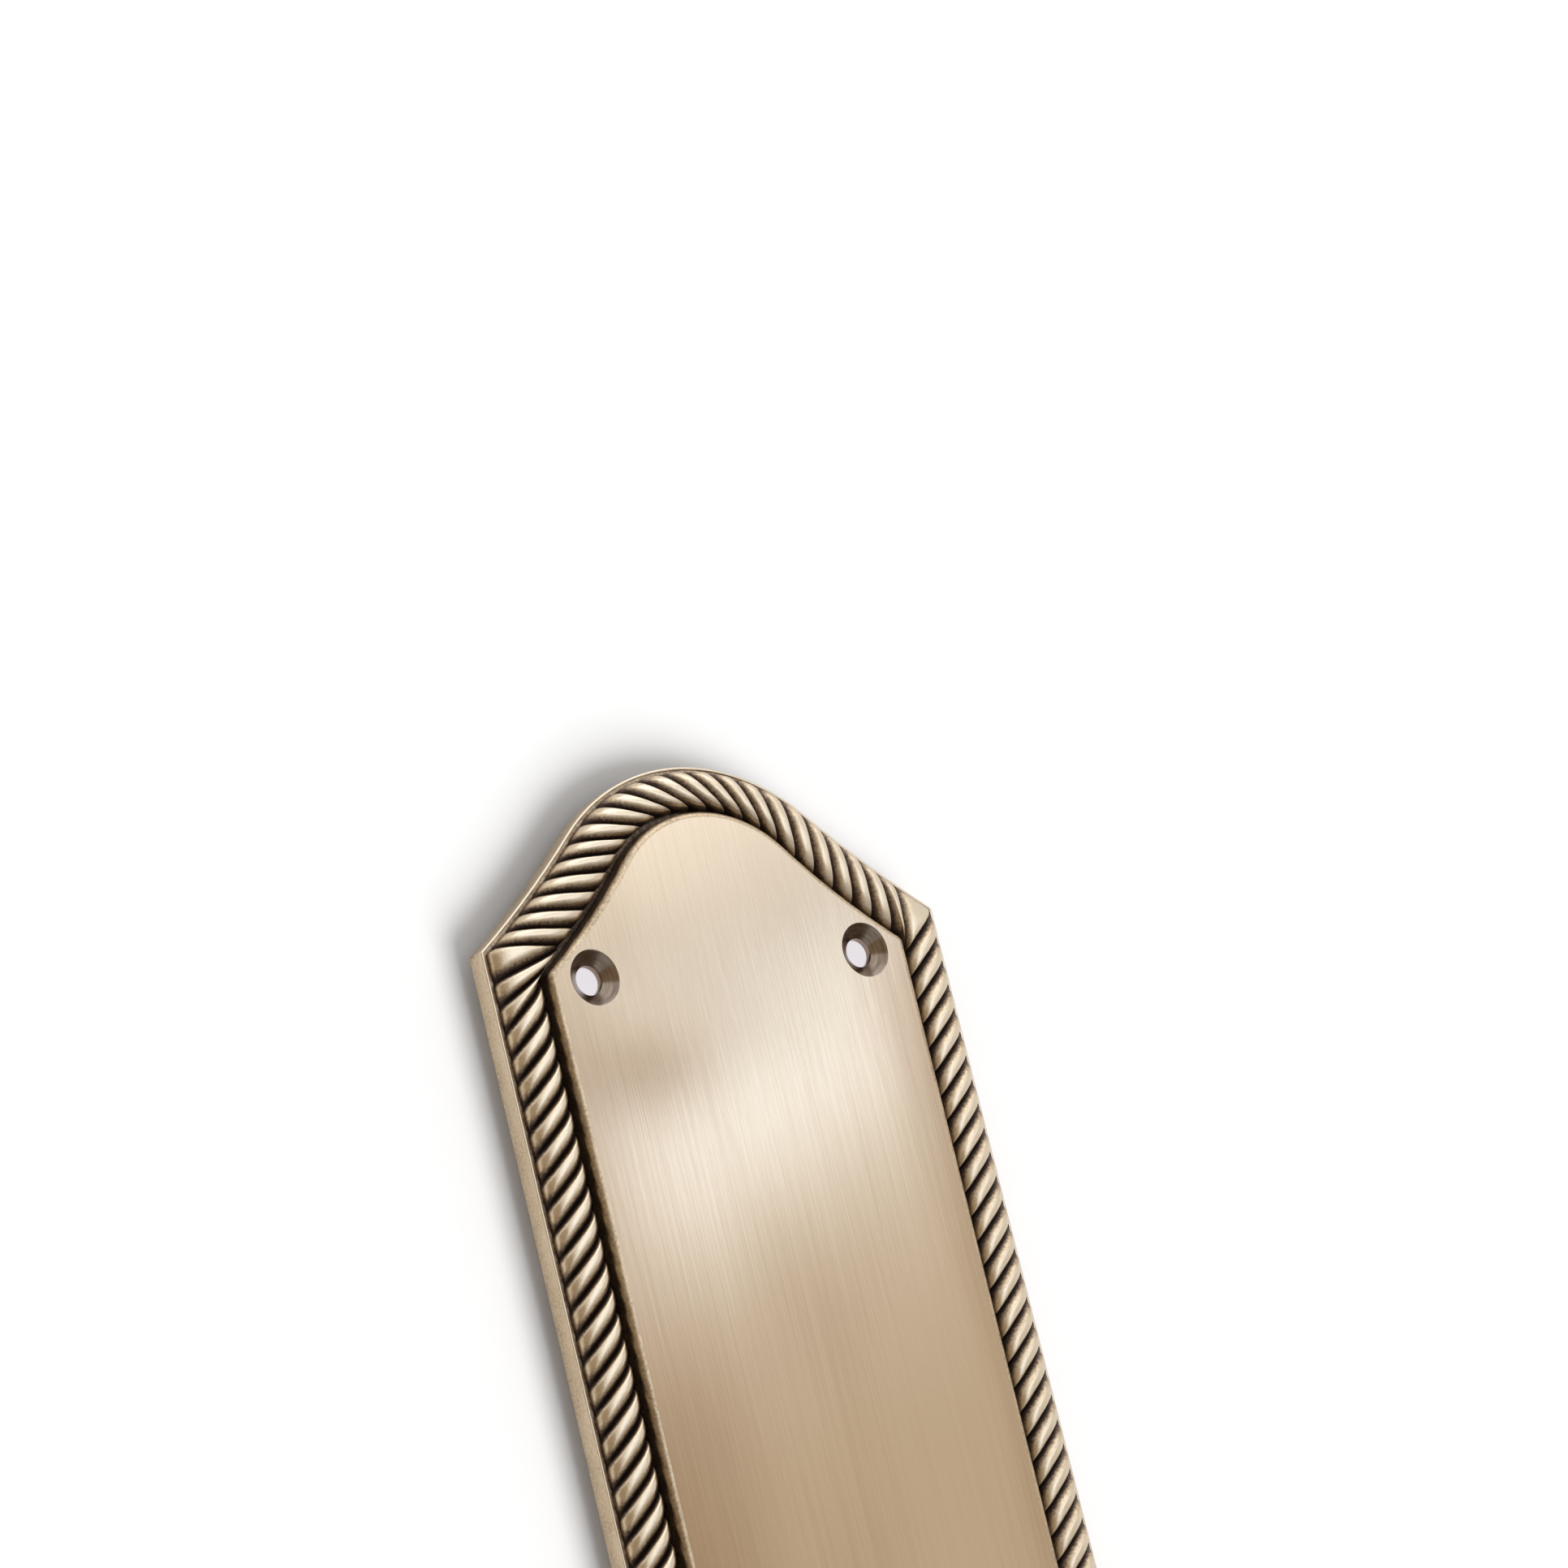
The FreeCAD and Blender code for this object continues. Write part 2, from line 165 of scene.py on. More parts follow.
def outline(shape, corner, inset):
    """Closed loop parallel to a shape, clockwise from the middle of the left side."""
    core = shape.inset(corner)
    quarter = []
    for step in range(SIDE_STEPS):
        quarter.append((shape.half_width - inset, core.shoulder * step / SIDE_STEPS))
    turn = math.pi / 2 - core.corner_slope
    for step in range(CORNER_STEPS):
        angle = turn * step / CORNER_STEPS
        reach = corner - inset
        quarter.append((core.half_width + reach * math.cos(angle), core.shoulder + reach * math.sin(angle)))
    for step in range(FLANK_STEPS):
        slope = core.corner_slope + (shape.joint_slope - core.corner_slope) * step / FLANK_STEPS
        radius = shape.flank_radius + inset
        quarter.append((shape.flank_x - radius * math.sin(slope), shape.flank_z - radius * math.cos(slope)))
    for step in range(CROWN_STEPS + 1):
        slope = shape.joint_slope * (1 - step / CROWN_STEPS)
        radius = shape.crown_radius - inset
        quarter.append((radius * math.sin(slope), shape.crown_centre + radius * math.cos(slope)))
    half = [(-x, z) for x, z in quarter] + quarter[-2:0:-1]
    return half + [(-x, -z) for x, z in half]


def inside(shape, x, z):
    """Whether a point lies inside a shape's outline."""
    x, z = abs(x), abs(z)
    if x > shape.half_width:
        return False
    if z <= shape.shoulder:
        return True
    if x < shape.crown_radius * math.sin(shape.joint_slope):
        return math.hypot(x, z - shape.crown_centre) < shape.crown_radius
    return math.hypot(x - shape.flank_x, z - shape.flank_z) > shape.flank_radius


# Mesh of the plate: points with a relief value, 0 in the grooves and 1 on the crests, and faces

CAST, BRUSHED, BACK, CUT = range(4)
PLAIN_RELIEF = 1.0
WHOLE_HULL = 0
NEAR = 1e-6
SPACING_MARGIN = 0.6
RING_TOLERANCE = 0.999
points, reliefs, faces, face_kinds = [], [], [], []


def add_point(x, y, z, relief):
    """Adds one point with its relief."""
    points.append((x, y, z))
    reliefs.append(relief)


def add_loop(loop, height, relief=PLAIN_RELIEF):
    """Adds a closed loop of points at one height and returns their numbers."""
    first = len(points)
    for x, z in loop:
        add_point(x, -height, z, relief)
    return list(range(first, len(points)))


def add_face(corners, kind):
    """Adds one face with the finish that it gets."""
    faces.append(corners)
    face_kinds.append(kind)


def bridge(loops, kind):
    """Quads between each loop and the next one, all of equal length."""
    for outer, inner in zip(loops, loops[1:]):
        count = len(outer)
        for number in range(count):
            following = (number + 1) % count
            add_face((outer[number], outer[following], inner[following], inner[number]), kind)


def zip_loops(outer, inner, kind):
    """Triangles between two flat loops of different length."""
    places = np.array(points)
    outer_step = inner_step = 0
    while outer_step < len(outer) or inner_step < len(inner):
        a, next_a = (outer[(outer_step + k) % len(outer)] for k in (0, 1))
        b, next_b = (inner[(inner_step + k) % len(inner)] for k in (0, 1))
        outer_length = np.linalg.norm(places[next_a] - places[b])
        inner_length = np.linalg.norm(places[a] - places[next_b])
        inner_done = inner_step == len(inner)
        if inner_done or (outer_step < len(outer) and outer_length < inner_length):
            add_face((a, next_a, b), kind)
            outer_step += 1
        else:
            add_face((a, next_b, b), kind)
            inner_step += 1


def hole_gap(x, z):
    """Distance to the nearest screw hole's axis."""
    return math.hypot(abs(x) - HOLE_X, abs(z) - HOLE_Z)


def fill(border, holes, shape, hole_radius, kind, spacing):
    """Triangles over the flat inside a border loop, leaving out the round holes."""
    rings = [border] + holes
    numbers = [number for ring in rings for number in ring]
    edges = []
    start = 0
    for ring in rings:
        edges += [(start + k, start + (k + 1) % len(ring)) for k in range(len(ring))]
        start += len(ring)
    y = points[border[0]][1]
    margin = shape.inset(spacing * SPACING_MARGIN)
    clear_radius = hole_radius + spacing * SPACING_MARGIN
    for column in range(int(shape.half_width * 2 / spacing)):
        for row in range(int(HALF_LENGTH * 2 / spacing)):
            x = -shape.half_width + (column + 0.5) * spacing
            z = -HALF_LENGTH + (row + 0.5) * spacing
            if hole_gap(x, z) > clear_radius and inside(margin, x, z):
                numbers.append(len(points))
                add_point(x, y, z, PLAIN_RELIEF)
    flat = [Vector((points[number][0], points[number][2])) for number in numbers]
    triangles, origins = delaunay_2d_cdt(flat, edges, [], WHOLE_HULL, NEAR)[2:4]
    for triangle in triangles:
        corners = tuple(numbers[origins[corner][0]] for corner in triangle)
        x = sum(points[corner][0] for corner in corners) / 3
        z = sum(points[corner][2] for corner in corners) / 3
        if hole_gap(x, z) >= hole_radius * RING_TOLERANCE and inside(shape, x, z):
            add_face(corners, kind)


# The rim with its lip, from the back to the channel's floor, as inset, height and relief

RIM_PROFILE = (
    (BACK_ROUND, 0.0, 0.42),
    (0.0, BACK_ROUND, 0.6),
    (0.0, RIM_HEIGHT - LIP_ROUND, 0.69),
    (LIP_ARC_MIDDLE, RIM_HEIGHT - LIP_ARC_MIDDLE, 0.95),
    (LIP_ROUND, RIM_HEIGHT, 1.0),
    (LIP_WIDTH - LIP_BEVEL, RIM_HEIGHT, 0.95),
    (LIP_WIDTH, RIM_HEIGHT - LIP_BEVEL, 0.7),
    (LIP_WIDTH, OUTER_FLOOR, 0.55),
)
rim_loops = []
for inset, height, relief in RIM_PROFILE:
    rim_loops.append(add_loop(outline(rim, RIM_CORNER, inset), height, relief))
bridge(rim_loops, CAST)

# The panel's wall and rounded edge, as inset, height and relief; the rounded edge's low relief is painted
# shade, colouring it darker than the flat to hold back its bright reflection

# Painted shade: the rounded edge starts darker than the flat and brightens towards it
ROUND_SHADE_RELIEF = 0.47
ROUND_RELIEF_GAIN = 0.15
panel_profile = [
    (0.0, FLOOR_HEIGHT, 0.3),
    (0.0, FLOOR_HEIGHT + PANEL_WALL_LOW, 0.5),
    (0.0, FLOOR_HEIGHT + PANEL_WALL_HIGH, 0.6),
]
for step in range(ROUND_STEPS + 1):
    angle = math.pi / 2 * step / ROUND_STEPS
    inset = PANEL_ROUND * (1 - math.cos(angle))
    height = PANEL_HEIGHT - PANEL_ROUND * (1 - math.sin(angle))
    panel_profile.append((inset, height, ROUND_SHADE_RELIEF + ROUND_RELIEF_GAIN * step / ROUND_STEPS))
panel_loops = []
for inset, height, relief in panel_profile:
    panel_loops.append(add_loop(outline(panel, PANEL_CORNER, inset), height, relief))
bridge(panel_loops, CAST)

# The rope moulding: strands that lean across a round bead and run clockwise all round

rope_outer = rim.inset(LIP_WIDTH + LIP_CLEARANCE)
rope_inner = panel.inset(-ROPE_PANEL_CLEARANCE)
bead_crown_radius = (rope_outer.crown_radius + rope_inner.crown_radius) / 2
bead_crown = bead_crown_radius * (rope_outer.joint_slope + rope_inner.joint_slope) / 2


def arch_half(edge):
    """Length from the crown's top to an edge's shoulder corner."""
    return bead_crown + edge.flank_radius * (edge.joint_slope - edge.corner_slope)


def edge_point(edge, place):
    """Point on one edge of the bead, a length along from the middle of the left side."""
    station = place - edge.shoulder - arch_half(edge)
    side, reach = math.copysign(1, station), abs(station)
    if reach > arch_half(edge):
        return side * edge.half_width, edge.shoulder - (reach - arch_half(edge))
    if reach <= bead_crown:
        slope = edge.joint_slope * reach / bead_crown
        x, z = edge.crown_radius * math.sin(slope), edge.crown_radius * math.cos(slope)
        return side * x, edge.crown_centre + z
    slope = edge.joint_slope - (reach - bead_crown) / edge.flank_radius
    x, z = edge.flank_radius * math.sin(slope), edge.flank_radius * math.cos(slope)
    return side * (edge.flank_x - x), edge.flank_z - z


def spaced(first, last):
    """Places from first to last, as near to the strands' pitch apart as fits."""
    count = round(abs(last - first) / STRAND_PITCH)
    return [first + (last - first) * number / count for number in range(count + 1)]


def half_rope():
    """Grooves from the middle of the left side to the middle of the right: inner and outer places."""
    lean = STRAND_LEAN / 2
    last_lean = lean + ARCH_LEAN_GAIN / 2
    inner_middle = rope_inner.shoulder + arch_half(rope_inner)
    outer_middle = rope_outer.shoulder + arch_half(rope_outer)
    first_arch = -arch_half(rope_outer) + lean + WEDGE_SHIFT
    last_left = inner_middle + first_arch - STRAND_TIP
    first_right = rope_outer.shoulder - lean
    last_arch = inner_middle - (first_right - lean) - STRAND_TIP - last_lean
    grooves = [(z + lean, z - lean) for z in spaced(0, last_left)]
    for place in spaced(first_arch, last_arch):
        half = lean + (last_lean - lean) * (place - first_arch) / (last_arch - first_arch)
        grooves.append((inner_middle + place + half, outer_middle + place - half))
    for z in spaced(first_right, 0):
        grooves.append((2 * inner_middle - z + lean, 2 * outer_middle - z - lean))
    return grooves


def sunk_share(behind, ahead):
    """How sunk, domed and bare a strand is, at its distances from the grooves behind and ahead."""
    bare = min(1, behind / STRAND_SOFT_SIDE, ahead / STRAND_STEEP_SIDE)
    sunk = 1 - math.sin(math.pi / 2 * bare)
    middle = (behind - ahead) / (behind + ahead)
    return sunk, STRAND_CROWN * middle**2, bare


def bead_share(angle):
    """Place across the bead, from its inner edge, for an angle round its profile."""
    reach = abs(math.cos(angle))**BEAD_FULLNESS
    if angle < math.pi / 2:
        return BEAD_CREST * (1 - reach)
    return BEAD_CREST + (1 - BEAD_CREST) * reach


def strand_row(groove, following, share, turned):
    """Points and reliefs across the bead, at a share of the way from a groove to the following one."""
    (inner_first, outer_first), (inner_last, outer_last) = groove, following
    inner_width = inner_last - inner_first
    outer_width = outer_last - outer_first
    row = []
    for number in range(ACROSS_BEAD + 1):
        angle = math.pi * number / ACROSS_BEAD
        over = bead_share(angle)
        drift = STRAND_LEAN * STRAND_SWEEP * (over - angle / math.pi)
        inner = edge_point(rope_inner, inner_first + inner_width * share + drift)
        outer = edge_point(rope_outer, outer_first + outer_width * share + drift)
        width = inner_width * (1 - over) + outer_width * over
        sunk, domed, bare = sunk_share(share * width, (1 - share) * width)
        over += STRAND_SCALLOP * sunk * math.cos(angle) / math.dist(inner, outer)
        rise = max(0, math.sin(angle))**BEAD_FULLNESS
        height = ROPE_FOOT + (ROPE_HEIGHT - ROPE_FOOT) * rise
        height -= (STRAND_DEPTH * sunk + domed) * (GROOVE_AT_EDGE + (1 - GROOVE_AT_EDGE) * rise)
        x = inner[0] + (outer[0] - inner[0]) * over
        z = inner[1] + (outer[1] - inner[1]) * over
        # Patina and painted shade: the bead's sides are coloured darker towards the feet, more on the inner
        # side
        patina_and_shade = INNER_PATINA_AND_SHADE if angle < math.pi / 2 else OUTER_PATINA_AND_SHADE
        row.append((turned * x, -height, turned * z, bare * (1 - patina_and_shade * (1 - rise))))
    inner_foot = (row[0][0], -FLOOR_HEIGHT, row[0][2], INNER_FOOT_RELIEF)
    outer_foot = (row[-1][0], -OUTER_FLOOR, row[-1][2], OUTER_FOOT_RELIEF)
    return [inner_foot] + row + [outer_foot]


grooves = half_rope()
rope_rows = []
for turned in (1, -1):
    for groove, following in zip(grooves, grooves[1:]):
        for share in ALONG_STRAND:
            first = len(points)
            for point in strand_row(groove, following, share, turned):
                add_point(*point)
            rope_rows.append(list(range(first, len(points))))
for near, far in zip(rope_rows, rope_rows[1:] + rope_rows[:1]):
    for place in range(len(near) - 1):
        add_face((near[place + 1], far[place + 1], far[place], near[place]), CAST)
zip_loops(rim_loops[-1], [row[-1] for row in rope_rows], CAST)
zip_loops([row[0] for row in rope_rows], panel_loops[0], CAST)

# Countersunk holes, as radius and height, and the flat of the panel

HOLE_PROFILE = (
    (SINK_RADIUS + SINK_EDGE, PANEL_HEIGHT),
    (SINK_RADIUS - SINK_EDGE_INSET, PANEL_HEIGHT - SINK_EDGE_DEPTH),
    (HOLE_RADIUS + BORE_EDGE, PANEL_HEIGHT - SINK_DEPTH + BORE_EDGE),
    (HOLE_RADIUS, PANEL_HEIGHT - SINK_DEPTH - BORE_EDGE),
    (HOLE_RADIUS, HOLLOW_HEIGHT),
)
front_rings, back_rings = [], []
first_panel_point = len(points)
for hole_x, hole_z in ((-HOLE_X, HOLE_Z), (HOLE_X, HOLE_Z), (HOLE_X, -HOLE_Z), (-HOLE_X, -HOLE_Z)):
    rings = []
    for radius, height in HOLE_PROFILE:
        ring = []
        for step in range(HOLE_STEPS):
            angle = -2 * math.pi * step / HOLE_STEPS
            ring.append((hole_x + radius * math.cos(angle), hole_z + radius * math.sin(angle)))
        rings.append(add_loop(ring, height))
    bridge(rings, CUT)
    front_rings.append(rings[0])
    back_rings.append(rings[-1])
panel_flat = panel.inset(PANEL_ROUND)
fill(panel_loops[-1], front_rings, panel_flat, SINK_RADIUS + SINK_EDGE, BRUSHED, PANEL_SPACING)

# Hand finishing leaves the panel slightly uneven: shallow dents, as place, reach and depth
DENTS = (
    ((-16.0, 110.0), (13.0, 9.0), 0.09),
    ((12.0, 108.0), (16.0, 9.0), 0.03),
    ((-22.0, 48.0), (10.0, 14.0), 0.06),
)
# Patches of patina and painted dark reflection on the panel, near its sides and next to two of the holes,
# as place, reach and strength
PANEL_SHADE_AND_PATINA_PATCHES = (
    ((-30.0, 62.0), (14.0, 48.0), 1.0),
    ((-17.0, 101.0), (9.0, 6.0), 0.6),
    ((30.0, 104.0), (10.0, 15.0), 1.0),
    ((31.0, 55.0), (6.0, 50.0), 0.6),
)


def spread(patches, x, z):
    """Sum of soft round patches at a place, and of the same patches turned end for end."""
    total = 0.0
    for (patch_x, patch_z), (reach_x, reach_z), strength in patches:
        for side in (1, -1):
            away = ((side * x - patch_x) / reach_x)**2 + ((side * z - patch_z) / reach_z)**2
            total += strength * math.exp(-away)
    return total


for number in panel_loops[-2] + panel_loops[-1] + list(range(first_panel_point, len(points))):
    x, y, z = points[number]
    if -y >= PANEL_HEIGHT - SINK_EDGE:
        points[number] = (x, y + spread(DENTS, x, z), z)

# The hollow back

hollow_loop = outline(panel, BACK_WALL + HOLLOW_CORNER, BACK_WALL)
hollow_low = add_loop(hollow_loop, 0.0)
hollow_high = add_loop(hollow_loop, HOLLOW_HEIGHT)
bridge([hollow_high, hollow_low], BACK)
zip_loops(hollow_low, rim_loops[0], BACK)
fill(hollow_high, back_rings, panel.inset(BACK_WALL), HOLE_RADIUS, BACK, BACK_SPACING)

# The plate as one closed mesh, sharp at steep edges and where two finishes meet

SHARP_ANGLE = math.radians(50)
NORMAL_WEIGHT = 100
mesh = bpy.data.meshes.new("plate")
mesh.from_pydata([(x * MM, y * MM, z * MM) for x, y, z in points], [], faces)
mesh.polygons.foreach_set("use_smooth", [True] * len(mesh.polygons))
mesh.polygons.foreach_set("material_index", face_kinds)
shell = bmesh.new()
shell.from_mesh(mesh)
bmesh.ops.recalc_face_normals(shell, faces=shell.faces)
for edge in shell.edges:
    one, other = edge.link_faces
    edge.smooth = one.material_index == other.material_index and edge.calc_face_angle() < SHARP_ANGLE
shell.to_mesh(mesh)
shell.free()
relief_layer = mesh.attributes.new("relief", "FLOAT", "POINT")
relief_layer.data.foreach_set("value", reliefs)
# The panel's patches of patina and painted dark reflection, carried by the mesh
shade_and_patina_layer = mesh.attributes.new("patina_and_shade", "FLOAT", "POINT")
shade_and_patina_layer.data.foreach_set("value", [min(1, spread(PANEL_SHADE_AND_PATINA_PATCHES, x, z)) for x, y, z in points])
brush_map = mesh.uv_layers.new(name="brush")
corner_points = np.zeros(len(mesh.loops), dtype=np.int64)
mesh.loops.foreach_get("vertex_index", corner_points)
corner_places = np.array(points)[corner_points][:, (0, 2)]
brush_map.data.foreach_set("uv", (corner_places / BRUSH_MAP_SIZE + 0.5).ravel())
mesh.update()
plate = bpy.data.objects.new("plate", mesh)
bpy.context.scene.collection.objects.link(plate)
normals = plate.modifiers.new("normals", "WEIGHTED_NORMAL")
normals.keep_sharp = True
normals.weight = NORMAL_WEIGHT


# Materials

def node_material(name):
    """A new material with one shader; returns it with its node tree and shader."""
    material = bpy.data.materials.new(name)
    material.use_nodes = True
    tree = material.node_tree
    tree.nodes.clear()
    shader = tree.nodes.new("ShaderNodeBsdfPrincipled")
    output = tree.nodes.new("ShaderNodeOutputMaterial")
    tree.links.new(shader.outputs[0], output.inputs[0])
    return material, tree, shader


def object_place(tree):
    """The object's own coordinates, in metres."""
    return tree.nodes.new("ShaderNodeTexCoord").outputs["Object"]


def mesh_value(tree, name):
    """A value that the mesh carries at its points."""
    node = tree.nodes.new("ShaderNodeAttribute")
    node.attribute_name = name
    return node.outputs["Fac"]


def noise(tree, place, detail, scale=1, stretch=(1, 1, 1)):
    """Noise over a place, with a number of waves per metre that may differ along the axes."""
    mapping = tree.nodes.new("ShaderNodeMapping")
    mapping.inputs["Scale"].default_value = stretch
    tree.links.new(place, mapping.inputs["Vector"])
    texture = tree.nodes.new("ShaderNodeTexNoise")
    texture.inputs["Scale"].default_value = scale
    texture.inputs["Detail"].default_value = detail
    tree.links.new(mapping.outputs[0], texture.inputs["Vector"])
    return texture.outputs["Fac"]


def ranged(tree, value, source, target):
    """A value carried over from one range to another and kept within it."""
    node = tree.nodes.new("ShaderNodeMapRange")
    node.inputs["From Min"].default_value, node.inputs["From Max"].default_value = source
    node.inputs["To Min"].default_value, node.inputs["To Max"].default_value = target
    tree.links.new(value, node.inputs["Value"])
    return node.outputs[0]


def math_node(tree, operation, first, second):
    """One sum over sockets or plain numbers."""
    node = tree.nodes.new("ShaderNodeMath")
    node.operation = operation
    for socket, value in zip(node.inputs, (first, second)):
        if isinstance(value, (int, float)):
            socket.default_value = value
        else:
            tree.links.new(value, socket)
    return node.outputs[0]


def blend(tree, first, second, share):
    """Two values added in shares; the share given is the first one's."""
    first_part = math_node(tree, "MULTIPLY", first, share)
    second_part = math_node(tree, "MULTIPLY", second, 1 - share)
    return math_node(tree, "ADD", first_part, second_part)


def ramp(tree, value, stops):
    """A colour that follows a value, from stops of place and colour."""
    node = tree.nodes.new("ShaderNodeValToRGB")
    elements = node.color_ramp.elements
    while len(elements) < len(stops):
        elements.new(0.5)
    for element, (place, colour) in zip(elements, stops):
        element.position = place
        element.color = (*colour, 1)
    tree.links.new(value, node.inputs[0])
    return node.outputs[0]


def bump(tree, shader, height, strength, distance):
    """Fine unevenness of a surface."""
    node = tree.nodes.new("ShaderNodeBump")
    node.inputs["Strength"].default_value = strength
    node.inputs["Distance"].default_value = distance
    tree.links.new(height, node.inputs["Height"])
    tree.links.new(node.outputs[0], shader.inputs["Normal"])


NOISE_RANGE = (0.3, 0.7)
GRAIN_WEAR = 0.09
CLOUD_WEAR = 0.05
PANEL_SHADE_AND_PATINA_DEPTH = 0.45


def cast_brass():
    """Rope, rim and panel wall: dark patina in the hollows, rubbed through on the crests; patina and
    painted shade darken the bead's sides towards its feet, and painted shade darkens the panel's rounded
    edge.
    """
    material, tree, shader = node_material("antique_brass_cast")
    place = object_place(tree)
    grain = noise(tree, place, detail=3, scale=2600)
    clouds = noise(tree, place, detail=2, scale=260)
    wear_and_shade = mesh_value(tree, "relief")
    for texture, wear in ((grain, GRAIN_WEAR), (clouds, CLOUD_WEAR)):
        wear_and_shade = math_node(tree, "ADD", wear_and_shade, ranged(tree, texture, NOISE_RANGE, (-wear, wear)))
    colour = ramp(tree, wear_and_shade, (
        (0.05, (0.05, 0.034, 0.028)),
        (0.27, (0.085, 0.06, 0.046)),
        (0.43, (0.26, 0.19, 0.13)),
        (0.63, (0.54, 0.42, 0.28)),
        (0.86, (0.68, 0.565, 0.42)),
    ))
    tree.links.new(colour, shader.inputs["Base Color"])
    tree.links.new(ranged(tree, wear_and_shade, (0.1, 0.9), (0.55, 0.3)), shader.inputs["Roughness"])
    shader.inputs["Metallic"].default_value = 1.0
    bump(tree, shader, grain, strength=0.25, distance=0.0001)
    return material


def brushed_brass():
    """The panel: satin brass brushed along its length, with patches of patina and painted dark reflection.
    """
    material, tree, shader = node_material("antique_brass_brushed")
    place = object_place(tree)
    fine = noise(tree, place, detail=3, stretch=(9000, 9000, 70))
    broad = noise(tree, place, detail=2, stretch=(1600, 1600, 26))
    tarnish = noise(tree, place, detail=1, stretch=(34, 34, 20))
    streaks = blend(tree, fine, broad, share=0.6)
    tone = blend(tree, streaks, tarnish, share=0.4)
    # Patches of patina and painted dark reflection darken the panel's tone
    patina_and_shade = math_node(tree, "MULTIPLY", mesh_value(tree, "patina_and_shade"), PANEL_SHADE_AND_PATINA_DEPTH)
    tone = math_node(tree, "SUBTRACT", tone, patina_and_shade)
    colour = ramp(tree, tone, (
        (0.08, (0.41, 0.28, 0.175)),
        (0.35, (0.54, 0.405, 0.275)),
        (0.5, (0.61, 0.475, 0.335)),
        (0.65, (0.635, 0.505, 0.365)),
    ))
    tree.links.new(colour, shader.inputs["Base Color"])
    tree.links.new(ranged(tree, streaks, NOISE_RANGE, (0.10, 0.07)), shader.inputs["Roughness"])
    shader.inputs["Metallic"].default_value = 1.0
    shader.inputs["Anisotropic"].default_value = 0.8
    tangent = tree.nodes.new("ShaderNodeTangent")
    tangent.direction_type = "UV_MAP"
    tangent.uv_map = "brush"
    tree.links.new(tangent.outputs[0], shader.inputs["Tangent"])
    bump(tree, shader, fine, strength=0.06, distance=0.0001)
    return material


def back_brass():
    """The back: dull as-cast metal with the same patina."""
    material, tree, shader = node_material("antique_brass_back")
    place = object_place(tree)
    grain = noise(tree, place, detail=4, scale=1800)
    clouds = noise(tree, place, detail=3, scale=90)
    tone = blend(tree, grain, clouds, share=0.4)
    colour = ramp(tree, tone, (
        (0.35, (0.20, 0.135, 0.08)),
        (0.5, (0.34, 0.245, 0.15)),
        (0.65, (0.46, 0.34, 0.21)),
    ))
    tree.links.new(colour, shader.inputs["Base Color"])
    tree.links.new(ranged(tree, tone, (0.35, 0.65), (0.62, 0.45)), shader.inputs["Roughness"])
    shader.inputs["Metallic"].default_value = 1.0
    bump(tree, shader, grain, strength=0.5, distance=0.00015)
    return material


def cut_brass():
    """The countersinks: turned smooth, then darkened with the rest."""
    material, tree, shader = node_material("antique_brass_cut")
    rings = noise(tree, object_place(tree), detail=2, stretch=(300, 4000, 300))
    colour = ramp(tree, rings, (
        (0.3, (0.20, 0.15, 0.115)),
        (0.7, (0.36, 0.29, 0.235)),
    ))
    tree.links.new(colour, shader.inputs["Base Color"])
    shader.inputs["Metallic"].default_value = 1.0
    shader.inputs["Roughness"].default_value = 0.2
    return material


for material in (cast_brass(), brushed_brass(), back_brass(), cut_brass()):
    mesh.materials.append(material)
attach(plate, "root")
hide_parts("finger_plate")


# Stage, in metres: a white wall behind the plate, a pale floor and cards

def upright(left, right, low, high):
    """Corners of an upright card between two places, each as x and y."""
    return (*left, low), (*right, low), (*right, high), (*left, high)


def level(half_width, front, back, height):
    """Corners of a level card."""
    return (
        (-half_width, front, height), (half_width, front, height),
        (half_width, back, height), (-half_width, back, height),
    )


def plane(name, corners, colour, one_sided):
    """A dull card of the stage; a one-sided one is clear from behind."""
    stage_mesh = bpy.data.meshes.new(name)
    stage_mesh.from_pydata(corners, [], [(0, 1, 2, 3)])
    material, tree, shader = node_material(name)
    shader.inputs["Base Color"].default_value = (*colour, 1)
    shader.inputs["Roughness"].default_value = 0.9
    shader.inputs["Specular IOR Level"].default_value = 0.0
    if one_sided:
        clear = tree.nodes.new("ShaderNodeBsdfTransparent")
        mix = tree.nodes.new("ShaderNodeMixShader")
        geometry = tree.nodes.new("ShaderNodeNewGeometry")
        tree.links.new(geometry.outputs["Backfacing"], mix.inputs[0])
        tree.links.new(shader.outputs[0], mix.inputs[1])
        tree.links.new(clear.outputs[0], mix.inputs[2])
        tree.links.new(mix.outputs[0], tree.nodes["Material Output"].inputs[0])
    stage_mesh.materials.append(material)
    thing = bpy.data.objects.new(name, stage_mesh)
    bpy.context.scene.collection.objects.link(thing)
    return thing, tree, shader


def seen_by(tree, first, *others):
    """1 for the named kinds of ray and 0 for the rest."""
    path = tree.nodes.new("ShaderNodeLightPath")
    seen = path.outputs[first]
    for other in others:
        seen = math_node(tree, "MAXIMUM", seen, path.outputs[other])
    return seen


WALL_GAP = 0.003
WALL_REACH = 1.2
WALL_COLOUR = (0.97, 0.97, 0.97)
FLOOR_LEVEL = -0.25
FLOOR_COLOUR = (0.9, 0.9, 0.9)
wall_corners = upright((-WALL_REACH, WALL_GAP), (WALL_REACH, WALL_GAP), FLOOR_LEVEL, WALL_REACH)
plane("wall", wall_corners, WALL_COLOUR, True)
floor_corners = level(WALL_REACH, -WALL_REACH, WALL_REACH, FLOOR_LEVEL)
floor, _, _ = plane("floor", floor_corners, FLOOR_COLOUR, False)
floor.visible_shadow = False

